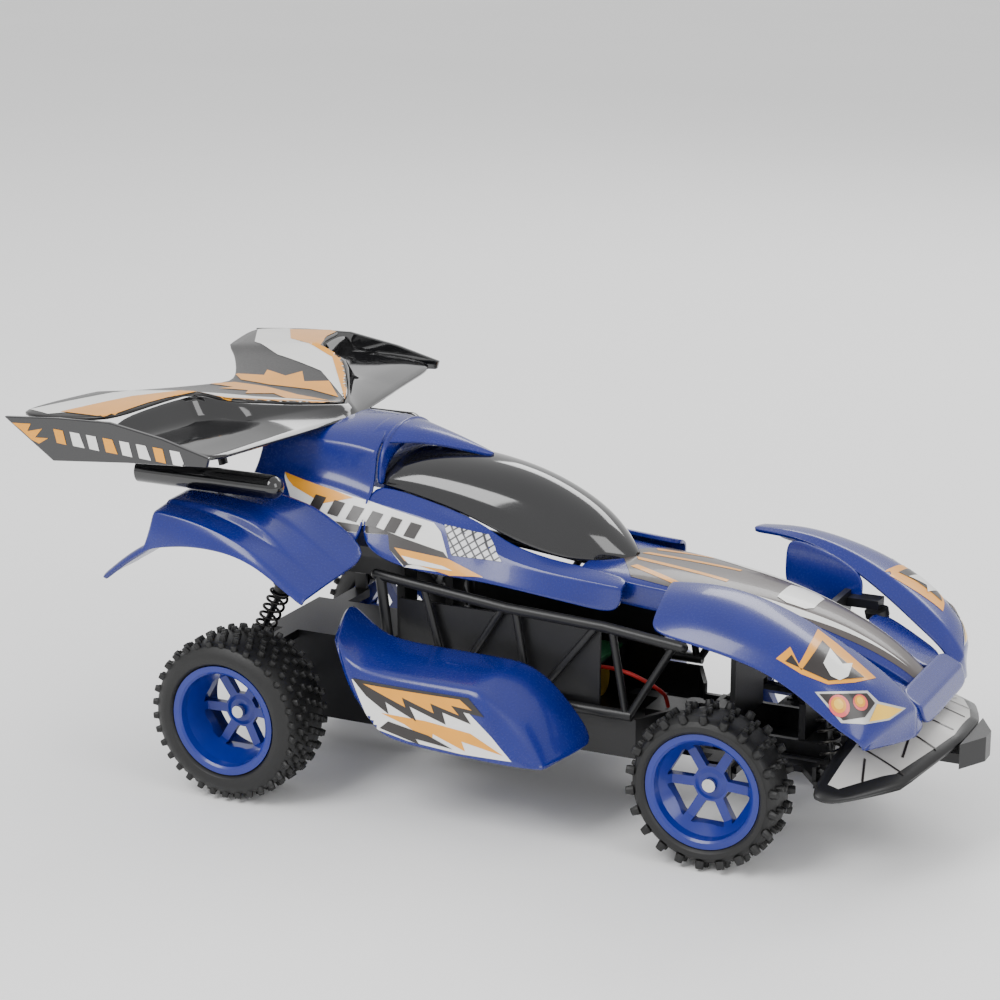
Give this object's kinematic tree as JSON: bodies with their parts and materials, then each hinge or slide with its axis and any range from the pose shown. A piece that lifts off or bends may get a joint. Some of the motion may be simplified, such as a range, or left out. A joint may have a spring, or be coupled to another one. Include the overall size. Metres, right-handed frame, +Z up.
{
  "type": "remote control car",
  "caption": "Toy remote control off-road buggy with moulded shell, rear wing, sprung rear gearbox and front arms, linked steering and studded tyres.",
  "frame": {"origin": "on the ground, midway along the car's length and on its centre plane, which is also midway between the axles", "axes": "+X forward to the bumper, +Y to the car's left, +Z up"},
  "size_m": [0.422, 0.218, 0.1784],
  "materials": {
    "blue_shell": "glossy moulded blue plastic",
    "blue_rim": "glossy moulded blue plastic",
    "black_frame": "satin black plastic",
    "black_gloss": "glossy black plastic",
    "tyre": "black studded rubber",
    "wing_deck": "glossy black plastic with graphics",
    "bumper_grey": "silver grey satin plastic",
    "steel": "turned steel",
    "spring_steel": "dark oiled steel wire",
    "white_gear": "natural white acetal",
    "motor_can": "zinc plated steel",
    "board_green": "green lacquered laminate",
    "chips": "moulded electronic parts",
    "cell_wrap": "printed battery sleeve",
    "wire_red": "red insulated wire"
  },
  "bodies": {
    "chassis": {"battery_cells": "cell_wrap", "battery_cover": "black_frame", "board_components": "chips", "body_screws": "steel", "bumper_base": "black_frame", "canopy": "black_gloss", "chassis_tub": "black_frame", "circuit_board": "board_green", "cockpit_shell": "blue_shell", "exhausts": "black_gloss", "front_bumper": "bumper_grey", "front_damper_sleeves": "black_frame", "front_tower": "black_frame", "hood": "blue_shell", "nose_cowl": "blue_shell", "rear_damper_sleeves": "black_frame", "rear_fender_left": "blue_shell", "rear_fender_right": "blue_shell", "rear_tower": "black_frame", "rear_wing": "wing_deck", "servo_lead": "wire_red", "side_frame_left": "black_frame", "side_frame_right": "black_frame", "side_pod_left": "blue_shell", "side_pod_right": "blue_shell", "steering_servo": "black_frame", "swing_pivot_pin": "steel", "switch_block": "black_frame", "wing_endplates": "black_gloss"},
    "swing_arm": {"gearbox_case_right": "black_frame", "gearbox_case_left": "black_frame", "drive_motor": "motor_can"},
    "rear_damper_rods": {"rear_damper_rods": "black_frame", "rear_springs": "spring_steel"},
    "rear_axle": {"rear_axle": "steel", "rear_axle_nuts": "steel", "drive_gear": "white_gear", "rear_right_rim": "blue_rim", "rear_right_tyre": "tyre", "rear_left_rim": "blue_rim", "rear_left_tyre": "tyre"},
    "pinion": {"motor_pinion": "steel"},
    "tie_rod": {"tie_rod": "black_frame"},
    "servo_horn": {"servo_horn": "black_frame"},
    "switch": {"switch_slider": "black_frame"},
    "front_arm_right": {"front_arm_right": "black_frame"},
    "front_damper_right": {"front_damper_rod_right": "black_frame", "front_spring_right": "spring_steel"},
    "knuckle_right": {"steering_knuckle_right": "black_frame", "stub_axle_right": "steel"},
    "front_wheel_right": {"front_right_rim": "blue_rim", "front_right_tyre": "tyre"},
    "front_arm_left": {"front_arm_left": "black_frame"},
    "front_damper_left": {"front_damper_rod_left": "black_frame", "front_spring_left": "spring_steel"},
    "knuckle_left": {"steering_knuckle_left": "black_frame", "stub_axle_left": "steel"},
    "front_wheel_left": {"front_left_rim": "blue_rim", "front_left_tyre": "tyre"}
  },
  "joints": [
    {"name": "swing_arm", "type": "hinge", "parent": "chassis", "child": "swing_arm", "pos_m": [-0.07, 0, 0.042], "axis": [0, 1, 0], "range_deg": [0, 8], "stiffness_Nm_per_rad": 3, "springref_deg": -5.73},
    {"name": "rear_damper_tilt", "type": "hinge", "parent": "swing_arm", "child": "rear_damper_rods", "pos_m": [-0.116, 0, 0.0636], "axis": [0, 1, 0], "range_deg": [-9, 0.5], "deforming": ["rear_springs"]},
    {"name": "rear_spin", "type": "hinge", "parent": "swing_arm", "child": "rear_axle", "pos_m": [-0.11, 0, 0.0386], "axis": [0, 1, 0], "continuous": true},
    {"name": "pinion_spin", "type": "hinge", "parent": "swing_arm", "child": "pinion", "pos_m": [-0.09197, 0, 0.04284], "axis": [0, 1, 0], "continuous": true},
    {"name": "front_arm_right", "type": "hinge", "parent": "chassis", "child": "front_arm_right", "pos_m": [0.123, -0.0246, 0.036], "axis": [-1, 0, 0], "range_deg": [0, 4.5], "stiffness_Nm_per_rad": 1.2, "springref_deg": -4.58},
    {"name": "front_damper_right", "type": "hinge", "parent": "front_arm_right", "child": "front_damper_right", "pos_m": [0.157, -0.043, 0.0414], "axis": [-1, 0, 0], "range_deg": [-6, 0.5], "deforming": ["front_spring_right"]},
    {"name": "steer_right", "type": "hinge", "parent": "front_arm_right", "child": "knuckle_right", "pos_m": [0.11, -0.05, 0.0354], "axis": [0, 0, 1], "range_deg": [-16, 16]},
    {"name": "front_spin_right", "type": "hinge", "parent": "knuckle_right", "child": "front_wheel_right", "pos_m": [0.11, -0.063, 0.0354], "axis": [0, 1, 0], "continuous": true},
    {"name": "front_arm_left", "type": "hinge", "parent": "chassis", "child": "front_arm_left", "pos_m": [0.123, 0.0246, 0.036], "axis": [1, 0, 0], "range_deg": [0, 4.5], "stiffness_Nm_per_rad": 1.2, "springref_deg": -4.58},
    {"name": "front_damper_left", "type": "hinge", "parent": "front_arm_left", "child": "front_damper_left", "pos_m": [0.157, 0.043, 0.0414], "axis": [1, 0, 0], "range_deg": [-6, 0.5], "deforming": ["front_spring_left"]},
    {"name": "steer_left", "type": "hinge", "parent": "front_arm_left", "child": "knuckle_left", "pos_m": [0.11, 0.05, 0.0354], "axis": [0, 0, 1], "range_deg": [-16, 16]},
    {"name": "front_spin_left", "type": "hinge", "parent": "knuckle_left", "child": "front_wheel_left", "pos_m": [0.11, 0.063, 0.0354], "axis": [0, 1, 0], "continuous": true},
    {"name": "tie_slide", "type": "slide", "parent": "chassis", "child": "tie_rod", "axis": [0, 1, 0], "range_m": [-0.0046, 0.0046]},
    {"name": "servo_turn", "type": "hinge", "parent": "chassis", "child": "servo_horn", "pos_m": [0.078, 0, 0.044], "axis": [0, 0, 1], "range_deg": [-16.5, 16.5]},
    {"name": "switch_slide", "type": "slide", "parent": "chassis", "child": "switch", "axis": [1, 0, 0], "range_m": [0, 0.004]}
  ],
  "couplings": [
    {"joint": "pinion_spin", "follows": "rear_spin", "ratio": -3.6},
    {"joint": "rear_damper_tilt", "follows": "swing_arm", "ratio": -1.06},
    {"joint": "front_damper_right", "follows": "front_arm_right", "ratio": -1.1},
    {"joint": "front_damper_left", "follows": "front_arm_left", "ratio": -1.1},
    {"joint": "steer_left", "follows": "steer_right", "ratio": 1},
    {"joint": "tie_slide", "follows": "steer_right", "m_per_rad": -0.0159},
    {"joint": "servo_turn", "follows": "steer_right", "ratio": -1}
  ]
}
